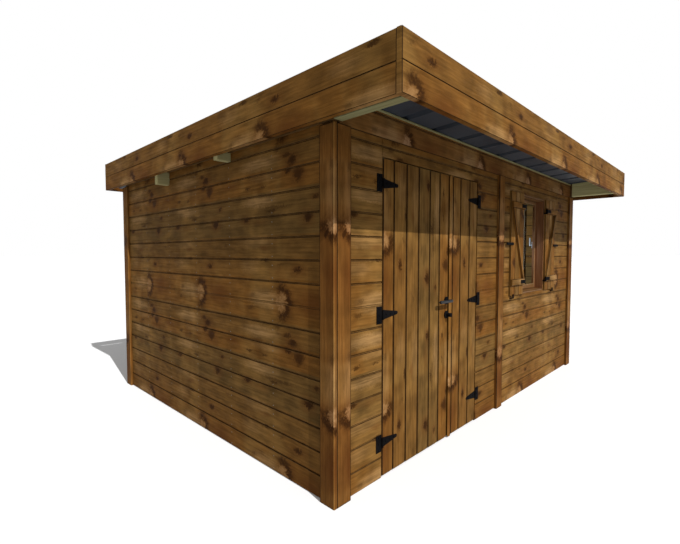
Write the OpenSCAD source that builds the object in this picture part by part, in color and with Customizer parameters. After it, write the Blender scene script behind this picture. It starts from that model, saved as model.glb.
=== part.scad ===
// Wooden garden shed: clad frame walls, a fascia box round a shallow ribbed metal roof,
// a pair of boarded doors and one window with open shutters.
// Drawn from the ground point of the front left corner, then moved to the middle of the footprint.

/* [Shed] */
// Width over the corner boards
width = 4000; // [3400:10:4800]
// Depth over the corner boards
depth = 3000; // [2600:10:3200]
// Height of the wall frames
wall_h = 1990; // [1700:5:2300]
// Fall of the roof to the back, in degrees
roof_pitch = 2.8; // [2:0.1:3]

/* [Walls] */
// Thickness of the cladding boards
clad_t = 20; // [16:1:24]
// Depth of a frame timber, across the wall
frame_d = 60; // [45:1:80]
// Width of a frame timber, along the wall
frame_w = 45; // [35:1:60]
// Bays between the studs of the back wall
back_bays = 8; // [6:1:10]
// Studs in a side wall between one purlin and the next
studs_between = 1; // [1:1:2]

/* [Trim boards] */
// Width of the corner boards and of the cover board
trim_w = 110; // [90:1:140]
// Thickness of the corner boards and of the cover board
trim_t = 20; // [16:1:28]
// How far the trim boards stop below the wall tops
trim_drop = 13; // [5:1:25]

/* [Fascia] */
// Height of one fascia board
fascia_board_h = 130; // [120:1:150]
// Thickness of a fascia board
fascia_t = 28; // [20:1:36]
// How far the fascia hangs below the wall tops
fascia_drop = 30; // [20:1:45]
// Overhang of the fascia in front of the corner boards
over_front = 486; // [300:1:600]
// Overhang of the fascia behind the corner boards
over_back = 174; // [120:1:300]
// Overhang of the fascia at each side
over_side = 104; // [80:1:200]

/* [Roof] */
// Number of purlins between the front and back walls
purlin_count = 2; // [1:1:3]
// Height of a purlin
purlin_h = 150; // [120:1:175]
// Width of a purlin
purlin_w = 50; // [38:1:70]
// Width of the verge beams on the side walls
verge_w = 60; // [45:1:80]
// Ribs that one sheet covers
ribs_per_sheet = 3; // [2:1:4]
// Distance from rib to rib
rib_pitch = 326; // [250:1:330]
// Height of a rib
rib_h = 30; // [20:1:40]
// Width of a rib across its crown
rib_crown_w = 26; // [18:1:40]
// Width of a rib across its foot
rib_foot_w = 70; // [55:1:90]
// Thickness of the sheet metal
sheet_t = 0.75; // [0.6:0.05:1.5]

/* [Doors] */
// Width of the doorway
door_w = 1177; // [1000:1:1400]
// Height of the cladding over the doorway and the window
head_h = 101; // [80:1:200]
// Width of the leaf with the lever
active_leaf_w = 739; // [600:1:820]
// Gap round the pair of doors
door_gap = 6; // [5:0.5:10]
// Gap between the two leaves
meeting_gap = 8; // [7:0.5:12]
// Gap under the doors
door_foot_gap = 10; // [8:1:25]
// Thickness of the door boards
leaf_t = 20; // [16:1:28]
// Height of a door ledge
door_ledge_h = 100; // [80:1:130]
// Thickness of the door ledges and braces
door_ledge_t = 22; // [18:1:30]
// Width of the strip beside the meeting gap
strip_w = 35; // [25:1:50]
// Thickness of that strip
strip_t = 10; // [8:1:16]

/* [Door ironwork] */
// Height of the lowest hinges
hinge_low = 214; // [150:1:350]
// Distance from the top of the doorway down to the highest hinges
hinge_top = 151; // [120:1:300]
// Length of a hinge strap from its pin
strap_l = 145; // [110:1:250]
// Height of a strap at its pin
strap_root_h = 58; // [50:1:75]
// Height of a strap at its rounded tip
strap_tip_h = 20; // [14:1:30]
// Width of a hinge plate
plate_w = 47; // [35:1:60]
// Height of a hinge plate
plate_h = 101; // [80:1:140]
// Thickness of the hinge iron
iron_t = 3; // [2:0.5:4]
// Radius of a hinge knuckle
knuckle_r = 6; // [5:0.5:8]
// Radius of a hinge pin
pin_r = 2.5; // [2:0.25:3.5]
// Height of the lever
lever_z = 995; // [900:1:1100]
// Distance from the meeting edge back to the lever's spindle
lever_back = 27; // [25:1:60]
// Length of the lever's grip
lever_l = 140; // [100:1:160]
// Radius of the lever's grip
grip_r = 11; // [7:0.5:12]
// How far the grip stands out from the boards
lever_out = 45; // [35:1:65]
// Radius of the lever's rose
rose_r = 26; // [18:1:26]
// Thickness of the rose
rose_t = 8; // [6:1:12]
// Height of the lock below the lever
lock_drop = 100; // [70:1:120]
// Radius of the lock's turning knob
knob_r = 14; // [10:0.5:20]
// How far the knob stands out from the boards
knob_out = 42; // [25:1:55]

/* [Window] */
// Width of the window opening
window_w = 580; // [450:1:700]
// Height of the window opening
window_h = 932; // [700:1:1100]
// Thickness of the lining boards
liner_t = 20; // [16:1:28]
// Depth of the lining, from the cladding face inwards
liner_d = 100; // [80:1:130]
// Distance from the cladding face back to the casement
casement_set = 72; // [50:1:80]
// Thickness of the casement
casement_t = 24; // [20:1:40]
// Gap round the casement
casement_gap = 3; // [2:0.5:5]
// Width of a casement stile
stile_w = 26; // [24:1:50]
// Height of the casement's bottom rail
bottom_rail_h = 45; // [35:1:80]
// Height of the casement's top rail
top_rail_h = 30; // [25:1:60]
// Thickness of the glass
glass_t = 4; // [3:0.5:6]

/* [Shutters] */
// Width of a shutter
shutter_w = 288; // [220:1:340]
// Distance from the cover board to the left shutter
shutter_from_cover = 152; // [120:1:250]
// Gap between the window opening and an open shutter
shutter_gap = 5; // [3:0.5:12]
// Thickness of the shutter boards
shutter_t = 16; // [12:1:20]
// Distance from a shutter's end to the middle of its ledge
shutter_ledge_end = 120; // [80:1:200]
// Height of a shutter ledge
shutter_ledge_h = 58; // [45:1:80]
// Thickness of the shutter ledges and braces
shutter_ledge_t = 18; // [14:1:22]
// Width of the diagonal brace
brace_w = 42; // [35:1:55]

/* [Hidden] */
$fn = 48;

stained = "#7a4d23";
treated = "#8f8a5e";
mahogany = "#6b3a22";
iron = "#1d1d1f";

// Overshoot of a cutting solid past the face it opens
cut = 1;
// Play where a timber passes through or ends beside another
timber_gap = 2;
// Play of a turning metal piece on its pin
pin_gap = 0.1;
// Play between two metal edges that turn past each other
knuckle_gap = 0.5;

clad_in = trim_t;
frame_in = clad_in + clad_t;
room_in = frame_in + frame_d;
trim_h = wall_h - trim_drop;
fascia_z = wall_h - fascia_drop;
cover_x = width / 2;

function roof_z(y) = wall_h + (depth - clad_in - y) * tan(roof_pitch);

side_bays = (purlin_count + 1) * (studs_between + 1);
function side_stud_y(i) = frame_in + i * (depth - 2 * frame_in - frame_w) / side_bays;
function purlin_y(k) = side_stud_y(k * (studs_between + 1)) + (frame_w - purlin_w) / 2;
function purlin_z(k) = roof_z(purlin_y(k) + purlin_w / 2) - purlin_h;
function carries_purlin(i) = i > 0 && i < side_bays && i % (studs_between + 1) == 0;
// Front ends and back ends of the stretches that the purlins leave on a side wall
function stretch_start(k, first) = k == 0 ? first : purlin_y(k) + purlin_w + timber_gap;
function stretch_end(k, last) = k == purlin_count ? last : purlin_y(k + 1) - timber_gap;

// The doorway is in the middle of its half of the front
door_left = (cover_x - door_w) / 2;
door_right = door_left + door_w;
door_h = trim_h - head_h;
window_left = cover_x + trim_w / 2 + shutter_from_cover + shutter_w + shutter_gap;
window_right = window_left + window_w;
window_top = door_h;
window_sill = window_top - window_h;
left_leaf = [door_left + door_gap, door_left + door_gap + active_leaf_w];
right_leaf = [left_leaf[1] + meeting_gap, door_right - door_gap];
leaf_z = [door_foot_gap, door_h - door_gap];
hinge_zs = [hinge_low, (hinge_low + door_h - hinge_top) / 2, door_h - hinge_top];
pin_y = clad_in - knuckle_r - knuckle_gap;
left_pin_x = door_left + door_gap / 2;
right_pin_x = door_right - door_gap / 2;
spindle_x = left_leaf[1] - lever_back;

// Pieces placed from the front left corner, with the footprint's middle at the origin
module in_frame() {
    translate([-width / 2, (over_front - depth - over_back) / 2, 0]) children();
}

module box(low, high) {
    translate(low) cube(high - low);
}

// A profile in the YZ plane, run along X
module along_x(x0, x1, points) {
    translate([x0, 0, 0]) rotate([90, 0, 90]) linear_extrude(x1 - x0) polygon(points);
}

// A flat outline in the XZ plane whose back lies on the plane y, built out to the front
module on_face(y, t) {
    translate([0, y, 0]) rotate([90, 0, 0]) linear_extrude(t) children();
}

module on_both_sides() {
    children();
    on_right() children();
}

module on_right() {
    translate([width, 0, 0]) mirror([1, 0, 0]) children();
}

// Outline between y0 and y1 that stands on z and is cut off by the roof sheets
function under_roof(y0, y1, z) = [[y0, z], [y1, z], [y1, roof_z(y1)], [y0, roof_z(y0)]];

module side_cladding() {
    difference() {
        box([clad_in, clad_in, 0], [frame_in, depth - clad_in, wall_h]);
        for (k = [1 : purlin_count])
            box([clad_in - cut, purlin_y(k) - timber_gap, purlin_z(k)],
                [frame_in + cut, purlin_y(k) + purlin_w + timber_gap, wall_h + cut]);
    }
}

module left_wall() {
    color(stained) in_frame() side_cladding();
}

module right_wall() {
    color(stained) in_frame() on_right() side_cladding();
}

module back_wall() {
    color(stained) in_frame()
        box([frame_in, depth - frame_in, 0], [width - frame_in, depth - clad_in, wall_h]);
}

module front_cladding(x0, x1, z0 = 0) {
    box([x0, clad_in, z0], [x1, frame_in, trim_h]);
}

module front_wall_left_of_door() {
    color(stained) in_frame() front_cladding(frame_in, door_left);
}

module front_wall_over_door() {
    color(stained) in_frame() front_cladding(door_left, door_right, door_h);
}

module front_wall_right_of_door() {
    color(stained) in_frame() front_cladding(door_right, cover_x);
}

module front_wall_window_panel() {
    color(stained) in_frame() difference() {
        front_cladding(cover_x, width - frame_in);
        box([window_left, clad_in - cut, window_sill], [window_right, frame_in + cut, window_top]);
    }
}

module front_upper_wall() {
    color(stained) in_frame()
        along_x(verge_w, width - verge_w, under_roof(clad_in, frame_in, trim_h));
}

module side_wall_studs() {
    color(treated) in_frame() on_both_sides() for (i = [0 : side_bays]) {
        y = side_stud_y(i);
        top = carries_purlin(i) ? purlin_z(i / (studs_between + 1)) : wall_h - frame_w;
        box([frame_in, y, frame_w], [room_in, y + frame_w, top]);
    }
}

module side_wall_plates() {
    color(treated) in_frame() on_both_sides() {
        box([frame_in, frame_in, 0], [room_in, depth - frame_in, frame_w]);
        for (k = [0 : purlin_count])
            box([frame_in, stretch_start(k, frame_in), wall_h - frame_w],
                [room_in, stretch_end(k, depth - frame_in), wall_h]);
    }
}

module front_stud(x0, x1) {
    box([x0, frame_in, frame_w], [x1, room_in, wall_h - frame_w]);
}

module front_wall_studs() {
    color(treated) in_frame() {
        front_stud(room_in, room_in + frame_w);
        front_stud(door_left - frame_w, door_left);
        front_stud(door_right, door_right + frame_w);
        front_stud(cover_x - frame_w, cover_x + frame_w);
        front_stud(window_left - frame_w, window_left);
        front_stud(window_right, window_right + frame_w);
        front_stud(width - room_in - frame_w, width - room_in);
    }
}

module front_rail(x0, x1, z) {
    box([x0, frame_in, z], [x1, room_in, z + frame_w]);
}

module front_wall_plates() {
    color(treated) in_frame() {
        front_rail(room_in, door_left, 0);
        front_rail(door_right, width - room_in, 0);
        front_rail(room_in, width - room_in, wall_h - frame_w);
        front_rail(door_left, door_right, door_h);
        front_rail(window_left, window_right, window_top);
        front_rail(window_left, window_right, window_sill - frame_w);
    }
}

module back_wall_studs() {
    pitch = (width - 2 * room_in - frame_w) / back_bays;
    color(treated) in_frame() for (i = [0 : back_bays])
        translate([room_in + i * pitch, depth - room_in, frame_w])
            cube([frame_w, frame_d, wall_h - 2 * frame_w]);
}

module back_wall_plates() {
    y0 = depth - room_in;
    y1 = depth - frame_in;
    color(treated) in_frame() {
        box([room_in, y0, 0], [width - room_in, y1, frame_w]);
        along_x(room_in, width - room_in, under_roof(y0, y1, wall_h - frame_w));
    }
}

module front_trim_boards() {
    color(stained) in_frame() {
        on_both_sides() box([trim_t, 0, 0], [trim_t + trim_w, trim_t, trim_h]);
        box([cover_x - trim_w / 2, 0, 0], [cover_x + trim_w / 2, trim_t, trim_h]);
    }
}

module side_trim_boards() {
    color(stained) in_frame() on_both_sides() for (y = [0, depth - trim_w])
        box([0, y, 0], [trim_t, y + trim_w, trim_h]);
}

module back_trim_boards() {
    color(stained) in_frame() translate([0, depth - trim_t, 0]) {
        on_both_sides() box([trim_t, 0, 0], [trim_t + trim_w, trim_t, trim_h]);
        box([cover_x - trim_w / 2, 0, 0], [cover_x + trim_w / 2, trim_t, trim_h]);
    }
}

// Front and back fascia boards run the full width and cover the ends of the side ones
module cross_fascia(y, z) {
    box([-over_side, y, z], [width + over_side, y + fascia_t, z + fascia_board_h]);
}

module side_fascia(z) {
    on_both_sides() box([-over_side, fascia_t - over_front, z],
        [fascia_t - over_side, depth + over_back - fascia_t, z + fascia_board_h]);
}

module front_fascia_lower() {
    color(stained) in_frame() cross_fascia(-over_front, fascia_z);
}

module front_fascia_upper() {
    color(stained) in_frame() cross_fascia(-over_front, fascia_z + fascia_board_h);
}

module side_fascia_lower() {
    color(stained) in_frame() side_fascia(fascia_z);
}

module side_fascia_upper() {
    color(stained) in_frame() side_fascia(fascia_z + fascia_board_h);
}

module back_fascia_lower() {
    color(stained) in_frame() cross_fascia(depth + over_back - fascia_t, fascia_z);
}

module back_fascia_upper() {
    color(stained) in_frame() cross_fascia(depth + over_back - fascia_t, fascia_z + fascia_board_h);
}

// Tapered beams that stand on the side walls and reach forward to the front fascia
module verge_beams() {
    color(treated) in_frame() on_both_sides() for (k = [0 : purlin_count])
        along_x(0, verge_w, under_roof(stretch_start(k, fascia_t - over_front),
                                       stretch_end(k, depth - room_in), wall_h));
}

// The purlins run out to the side fascia; the front beam stands on the front wall
module purlins() {
    color(treated) in_frame() {
        for (k = [1 : purlin_count])
            along_x(fascia_t - over_side, width + over_side - fascia_t,
                    under_roof(purlin_y(k), purlin_y(k) + purlin_w, purlin_z(k)));
        along_x(verge_w, width - verge_w, under_roof(frame_in, room_in, wall_h));
    }
}

// Gap between the sheets and the fascia boards
sheet_edge = 6;
// Gap behind the sheets, where the rain runs off
drain_gap = 40;
// Distance from the left fascia to the first rib
first_rib = 47;
// Flat lip that a sheet keeps beyond its lapping rib
lap_lip = 10;
// Play between two lapped sheets
lap_gap = 0.3;
// Play between the sheets and what they lie on
seat_gap = 0.1;
sheet_x0 = fascia_t - over_side + sheet_edge;
sheet_x1 = width + over_side - fascia_t - sheet_edge;
sheet_y0 = fascia_t - over_front + sheet_edge;
sheet_y1 = depth + over_back - fascia_t - drain_gap;
sheet_count = round((sheet_x1 - sheet_x0) / (ribs_per_sheet * rib_pitch));
function rib_x(i) = fascia_t - over_side + first_rib + i * rib_pitch;
function rib_points(x, lift) = [
    [x - rib_foot_w / 2, lift], [x - rib_crown_w / 2, rib_h + lift],
    [x + rib_crown_w / 2, rib_h + lift], [x + rib_foot_w / 2, lift]];

// The last sheet has as many ribs as fit beside the right fascia
last_rib = floor((sheet_x1 - rib_foot_w / 2 - lap_lip - rib_x(0)) / rib_pitch);

// Underside of one sheet: it starts as a cap over the last rib of the sheet before it
function sheet_under(s) = let (
        first = s * ribs_per_sheet,
        last = s == sheet_count - 1 ? last_rib : first + ribs_per_sheet,
        lift = sheet_t + lap_gap,
        lap_x = rib_x(first),
        lap = s == 0
            ? concat([[sheet_x0, 0]], rib_points(lap_x, 0))
            : concat([[lap_x - rib_foot_w / 2 - lap_lip, lift]], rib_points(lap_x, lift),
                     [[lap_x + rib_foot_w / 2 + lap_lip, 0]]),
        field = [for (i = [first + 1 : last]) each rib_points(rib_x(i), 0)],
        end = s == sheet_count - 1 ? [[sheet_x1, 0]] : [])
    concat(lap, field, end);

module roof_sheet(s) {
    under = sheet_under(s);
    over = [for (i = [len(under) - 1 : -1 : 0]) under[i] + [0, sheet_t]];
    translate([0, sheet_y1, roof_z(sheet_y1) + seat_gap]) rotate([90 - roof_pitch, 0, 0])
        linear_extrude((sheet_y1 - sheet_y0) / cos(roof_pitch)) polygon(concat(under, over));
}

module roof_sheets() {
    color("#23262b") in_frame() for (s = [0 : sheet_count - 1]) roof_sheet(s);
}

module window_liner() {
    color(mahogany) in_frame() difference() {
        box([window_left, clad_in, window_sill], [window_right, clad_in + liner_d, window_top]);
        box([window_left + liner_t, clad_in - cut, window_sill + liner_t],
            [window_right - liner_t, clad_in + liner_d + cut, window_top - liner_t]);
    }
}

casement_y = clad_in + casement_set;
casement_in = liner_t + casement_gap;
casement_low = [window_left + casement_in, casement_y, window_sill + casement_in];
casement_high = [window_right - casement_in, casement_y + casement_t, window_top - casement_in];
glass_low = casement_low + [stile_w, (casement_t - glass_t) / 2, bottom_rail_h];
glass_high = casement_high - [stile_w, (casement_t - glass_t) / 2, top_rail_h];
// How deep the glass sits in the groove of the casement
groove = 8;
// Play of the glass in its groove
glass_gap = 0.5;

module window_casement() {
    color(mahogany) in_frame() difference() {
        box(casement_low, casement_high);
        box([glass_low[0], casement_low[1] - cut, glass_low[2]],
            [glass_high[0], casement_high[1] + cut, glass_high[2]]);
        box(glass_low - [groove, glass_gap, groove], glass_high + [groove, glass_gap, groove]);
    }
}

module window_glass() {
    edge = groove - glass_gap;
    color("#9fb4b0", 0.4) in_frame()
        box(glass_low - [edge, 0, edge], glass_high + [edge, 0, edge]);
}

// Width, thickness and height of the window handle's plate
handle_plate = [22, 6, 66];
// Radius and length of the handle's neck
handle_neck = [6, 22];
// Width, thickness and length of the handle's grip
handle_grip = [16, 10, 84];

// Handle on the inside of the right stile, with its grip pointing up
module window_handle() {
    z = (window_sill + window_top) / 2;
    color("#c9c9c6") in_frame() translate([casement_high[0] - stile_w / 2, casement_high[1], z]) {
        box([-handle_plate[0] / 2, 0, -handle_plate[2] / 2],
            [handle_plate[0] / 2, handle_plate[1], handle_plate[2] / 2]);
        rotate([-90, 0, 0]) cylinder(r = handle_neck[0], h = handle_neck[1]);
        translate([-handle_grip[0] / 2, handle_neck[1], -handle_grip[0] / 2]) cube(handle_grip);
    }
}

shutter_face = clad_in - shutter_t;
shutter_ledge_zs = [window_sill + shutter_ledge_end, window_top - shutter_ledge_end];

// Left shutter, lying open on the wall: its brace falls towards the window
module shutter() {
    x1 = window_left - shutter_gap;
    x0 = x1 - shutter_w;
    half = shutter_ledge_h / 2;
    low = shutter_ledge_zs[0] + half;
    high = shutter_ledge_zs[1] - half;
    box([x0, shutter_face, window_sill], [x1, clad_in, window_top]);
    for (z = shutter_ledge_zs)
        box([x0, shutter_face - shutter_ledge_t, z - half], [x1, shutter_face, z + half]);
    on_face(shutter_face, shutter_ledge_t)
        polygon([[x0, high], [x0 + brace_w, high], [x1, low], [x1 - brace_w, low]]);
}

module across_window() {
    children();
    translate([window_left + window_right, 0, 0]) mirror([1, 0, 0]) children();
}

module left_shutter() {
    color(stained) in_frame() shutter();
}

module right_shutter() {
    color(stained) in_frame()
        translate([window_left + window_right, 0, 0]) mirror([1, 0, 0]) shutter();
}

// Length and height of a shutter's hinge strap
shutter_strap = [95, 34];
// Radius of a shutter's hinge eye
eye_r = 8;
// Height of the pintle's foot under the eye
pintle_h = 10;

// Straps on the ledges, each with its eye at the window's edge and a pintle on the wall
module shutter_hinges() {
    x1 = window_left - shutter_gap;
    eye_x = x1 + eye_r + knuckle_gap;
    y = shutter_face - shutter_ledge_t;
    half = shutter_strap[1] / 2;
    color(iron) in_frame() across_window() for (z = shutter_ledge_zs) {
        box([x1 - shutter_strap[0], y - iron_t, z - half], [eye_x, y, z + half]);
        translate([eye_x, y - iron_t + eye_r, z - half]) cylinder(r = eye_r, h = 2 * half);
        box([x1 + knuckle_gap, y - iron_t, z - half - pintle_h],
            [x1 + knuckle_gap + 2 * eye_r, clad_in, z - half]);
    }
}

// Reach of a shutter's turn-button on the wall and on the shutter, and its height
button_wall = 95;
button_shutter = 50;
button_h = 22;
// Thickness of the turn-button and of the hook iron
catch_t = 7;
// Distance from a shutter's outer edge to its hook, and the hook's width
hook_in = 46;
hook_w = 46;
// How far the hook's arm lies below the shutter and its prong reaches up in front of it
hook_drop = 24;
hook_up = 14;

// Catches that hold an open shutter: a turn-button on a block past its outer edge, a hook under it
module shutter_catches() {
    x0 = window_left - shutter_gap - shutter_w;
    button_z = (window_sill + window_top - button_h) / 2;
    hook_x = x0 + hook_in;
    hook_front = shutter_face - knuckle_gap - catch_t;
    color(iron) in_frame() across_window() {
        box([x0 - button_wall, shutter_face - catch_t, button_z],
            [x0 + button_shutter, shutter_face, button_z + button_h]);
        box([x0 - button_wall / 2 - button_h / 2, shutter_face, button_z],
            [x0 - button_wall / 2 + button_h / 2, clad_in, button_z + button_h]);
        box([hook_x - hook_w / 2, hook_front, window_sill - hook_drop],
            [hook_x + hook_w / 2, clad_in, window_sill - hook_drop + catch_t]);
        box([hook_x, hook_front, window_sill - hook_drop],
            [hook_x + hook_w / 2, hook_front + catch_t, window_sill + hook_up]);
    }
}

plate_edge = knuckle_r + knuckle_gap * 2;
knuckle_half = strap_root_h / 4;

// Fixed half of a door hinge, with its pin. The hinge is made for a leaf to the right of the pin,
// and half a turn about its middle suits it to a leaf on the left
module hinge_plate(x, z, turn) {
    translate([x, 0, z]) rotate([0, turn, 0]) {
        box([-plate_edge - plate_w, clad_in - iron_t, -plate_h / 2], [-plate_edge, clad_in, plate_h / 2]);
        box([-plate_edge - cut, clad_in - iron_t, -knuckle_half], [0, clad_in, knuckle_half]);
        translate([0, pin_y, -knuckle_half]) cylinder(r = knuckle_r, h = 2 * knuckle_half);
        translate([0, pin_y, -strap_root_h / 2]) cylinder(r = pin_r, h = strap_root_h);
    }
}

// Moving half: a tapered strap with a round tip and two knuckles above and below the fixed one
module hinge_strap(x, z, turn) {
    root = strap_root_h / 2;
    tip = strap_tip_h / 2;
    slot = knuckle_half + knuckle_gap;
    translate([x, 0, z]) rotate([0, turn, 0]) difference() {
        union() {
            on_face(clad_in, iron_t) {
                polygon([[0, -root], [strap_l - tip, -tip], [strap_l - tip, tip], [0, root]]);
                translate([strap_l - tip, 0]) circle(tip);
            }
            translate([0, pin_y, -root]) cylinder(r = knuckle_r, h = strap_root_h);
        }
        box([-2 * knuckle_r, pin_y - 2 * knuckle_r, -slot], [plate_edge, clad_in + cut, slot]);
        translate([0, pin_y, -root - cut]) cylinder(r = pin_r + pin_gap, h = strap_root_h + 2 * cut);
    }
}

module door_hinge_plates() {
    color(iron) in_frame() for (z = hinge_zs) {
        hinge_plate(left_pin_x, z, 0);
        hinge_plate(right_pin_x, z, 180);
    }
}

module leaf_boards(leaf) {
    box([leaf[0], clad_in, leaf_z[0]], [leaf[1], clad_in + leaf_t, leaf_z[1]]);
}

// Distance from the edges of a leaf to the ends of its ledges
ledge_in = 30;

// Three ledges and two braces that rise from the hinge side, which is x_hinge
module leaf_ledges(x_hinge, x_free) {
    back = clad_in + leaf_t + door_ledge_t;
    half = door_ledge_h / 2;
    side = sign(x_free - x_hinge);
    for (z = hinge_zs)
        box([min(x_hinge, x_free), clad_in + leaf_t, z - half], [max(x_hinge, x_free), back, z + half]);
    for (i = [0, 1]) {
        low = hinge_zs[i] + half + timber_gap;
        high = hinge_zs[i + 1] - half - timber_gap;
        on_face(back, door_ledge_t)
            polygon([[x_hinge, low], [x_hinge + side * door_ledge_h, low],
                     [x_free, high], [x_free - side * door_ledge_h, high]]);
    }
}

module left_door_boards() {
    color(stained) in_frame() leaf_boards(left_leaf);
}

module left_door_ledges() {
    color(treated) in_frame() leaf_ledges(left_leaf[0] + ledge_in, left_leaf[1] - ledge_in);
}

module left_door_straps() {
    color(iron) in_frame() for (z = hinge_zs) hinge_strap(left_pin_x, z, 0);
}

// Radius of the necks of the lever and of the lock's knob
neck_r = 8;
// Length of the knob's thick end
knob_l = 20;

// Rose under the lever, and below it the lock's rose with its knob
module left_door_lock() {
    color(iron) in_frame() {
        translate([spindle_x, clad_in, lever_z]) rotate([90, 0, 0]) difference() {
            cylinder(r = rose_r, h = rose_t);
            translate([0, 0, -cut]) cylinder(r = neck_r + pin_gap, h = rose_t + 2 * cut);
        }
        translate([spindle_x, clad_in, lever_z - lock_drop]) rotate([90, 0, 0]) {
            cylinder(r = rose_r, h = rose_t);
            cylinder(r = neck_r, h = knob_out);
            translate([0, 0, knob_out - knob_l]) cylinder(r = knob_r, h = knob_l);
        }
    }
}

// Neck out of the rose, turned into a round grip that points to the hinges
module door_lever() {
    color(iron) in_frame() translate([spindle_x, clad_in, lever_z]) {
        translate([0, -pin_gap, 0]) rotate([90, 0, 0]) cylinder(r = neck_r, h = lever_out - pin_gap);
        translate([0, -lever_out, 0]) {
            sphere(grip_r);
            rotate([0, -90, 0]) cylinder(r = grip_r, h = lever_l);
            translate([-lever_l, 0, 0]) sphere(grip_r);
        }
    }
}

module right_door_boards() {
    color(stained) in_frame() leaf_boards(right_leaf);
}

module right_door_ledges() {
    color(treated) in_frame() leaf_ledges(right_leaf[1] - ledge_in, right_leaf[0] + ledge_in);
}

module right_door_straps() {
    color(iron) in_frame() for (z = hinge_zs) hinge_strap(right_pin_x, z, 180);
}

module right_door_strip() {
    color(stained) in_frame()
        box([right_leaf[0], clad_in - strip_t, leaf_z[0]], [right_leaf[0] + strip_w, clad_in, leaf_z[1]]);
}

left_wall();
right_wall();
back_wall();
front_wall_left_of_door();
front_wall_over_door();
front_wall_right_of_door();
front_wall_window_panel();
front_upper_wall();
side_wall_studs();
side_wall_plates();
front_wall_studs();
front_wall_plates();
back_wall_studs();
back_wall_plates();
front_trim_boards();
side_trim_boards();
back_trim_boards();
front_fascia_lower();
front_fascia_upper();
side_fascia_lower();
side_fascia_upper();
back_fascia_lower();
back_fascia_upper();
verge_beams();
purlins();
roof_sheets();
window_liner();
window_casement();
window_glass();
window_handle();
left_shutter();
right_shutter();
shutter_hinges();
shutter_catches();
door_hinge_plates();
left_door_boards();
left_door_ledges();
left_door_straps();
left_door_lock();
door_lever();
right_door_boards();
right_door_ledges();
right_door_straps();
right_door_strip();
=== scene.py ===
# %% [markdown]
# # A wooden garden shed
# This lesson dresses the plain solids of a garden shed. The solids are already packed as a fixed frame, so
# every board that is modelled here goes where its solid is, and takes its place in the picture.

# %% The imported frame
import math

import bpy
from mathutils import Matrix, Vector


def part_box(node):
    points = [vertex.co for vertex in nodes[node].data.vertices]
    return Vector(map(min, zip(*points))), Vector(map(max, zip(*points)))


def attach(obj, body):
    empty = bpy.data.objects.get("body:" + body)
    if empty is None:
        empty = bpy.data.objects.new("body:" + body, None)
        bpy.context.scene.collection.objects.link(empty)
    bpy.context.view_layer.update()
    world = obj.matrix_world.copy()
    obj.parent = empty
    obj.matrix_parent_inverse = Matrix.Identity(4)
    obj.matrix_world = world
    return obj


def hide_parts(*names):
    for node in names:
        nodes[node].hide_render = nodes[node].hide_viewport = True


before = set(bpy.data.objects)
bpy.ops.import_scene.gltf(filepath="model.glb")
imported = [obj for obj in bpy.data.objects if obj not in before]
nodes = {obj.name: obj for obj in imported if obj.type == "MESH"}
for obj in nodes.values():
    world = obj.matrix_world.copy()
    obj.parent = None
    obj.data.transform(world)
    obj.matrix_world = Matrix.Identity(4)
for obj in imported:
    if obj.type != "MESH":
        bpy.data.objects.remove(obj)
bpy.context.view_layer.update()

# %% [markdown]
# ## Measures
# A joiner measures from a corner, so the lesson does too: millimetres to the right, to the back and up from
# the ground point of the front left corner. `spot` turns such a measure into the frame's metres, and `span`
# gives a solid's box in millimetres.

# %% Millimetres from the front left corner
MM = 0.001
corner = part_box("side_trim_boards")[0]


def spot(x, y, z):
    return corner + Vector((x, y, z)) * MM


def span(node):
    low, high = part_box(node)
    return (low - corner) / MM, (high - corner) / MM


print("the corner stands at", [round(v, 3) for v in corner])

# %% [markdown]
# ## Camera
# The camera comes first, because everything else is judged through it. Its place and lens were worked out
# from the straight edges of the building: a wide lens stands close to the left corner, a little above half
# height.

# %% The camera
EYE = (-1459, -1469, 1326)
LENS, SENSOR = 21.865, 36.0
TURN = (math.radians(87.395), 0, math.radians(-45.65))

bpy.ops.object.camera_add(location=spot(*EYE), rotation=TURN)
camera = bpy.context.object
camera.data.lens, camera.data.sensor_width = LENS, SENSOR
camera.data.sensor_fit = "HORIZONTAL"
bpy.context.scene.camera = camera
bpy.context.scene.view_settings.view_transform = "Standard"
print("camera at", [round(v, 3) for v in camera.location])

# %% [markdown]
# ## Writing materials as sums
# A material is a tree of nodes. Sums are easier to read than links, so one small class wraps a socket: adding
# or multiplying two of them adds a Math node. Every other kind of node comes from `Finish.node`, and the
# other methods are short names for the nodes that come up often.

# %% A socket that can be added and multiplied
class Flow:
    def __init__(self, finish, socket):
        self.finish, self.socket = finish, socket

    def outlet(self, name):
        """Another outlet of the same node."""
        return Flow(self.finish, self.socket.node.outputs[name])

    def math(self, operation, *terms):
        return self.finish.node("ShaderNodeMath", {"operation": operation}, dict(enumerate(terms)))

    def __add__(self, other):
        return self.math("ADD", self, other)

    def __sub__(self, other):
        return self.math("SUBTRACT", self, other)

    def __rsub__(self, other):
        return self.math("SUBTRACT", other, self)

    def __mul__(self, other):
        return self.math("MULTIPLY", self, other)

    def __truediv__(self, other):
        return self.math("DIVIDE", self, other)

    def __rtruediv__(self, other):
        return self.math("DIVIDE", other, self)

    __radd__, __rmul__ = __add__, __mul__

    def most(self, other):
        return self.math("MAXIMUM", self, other)


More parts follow.
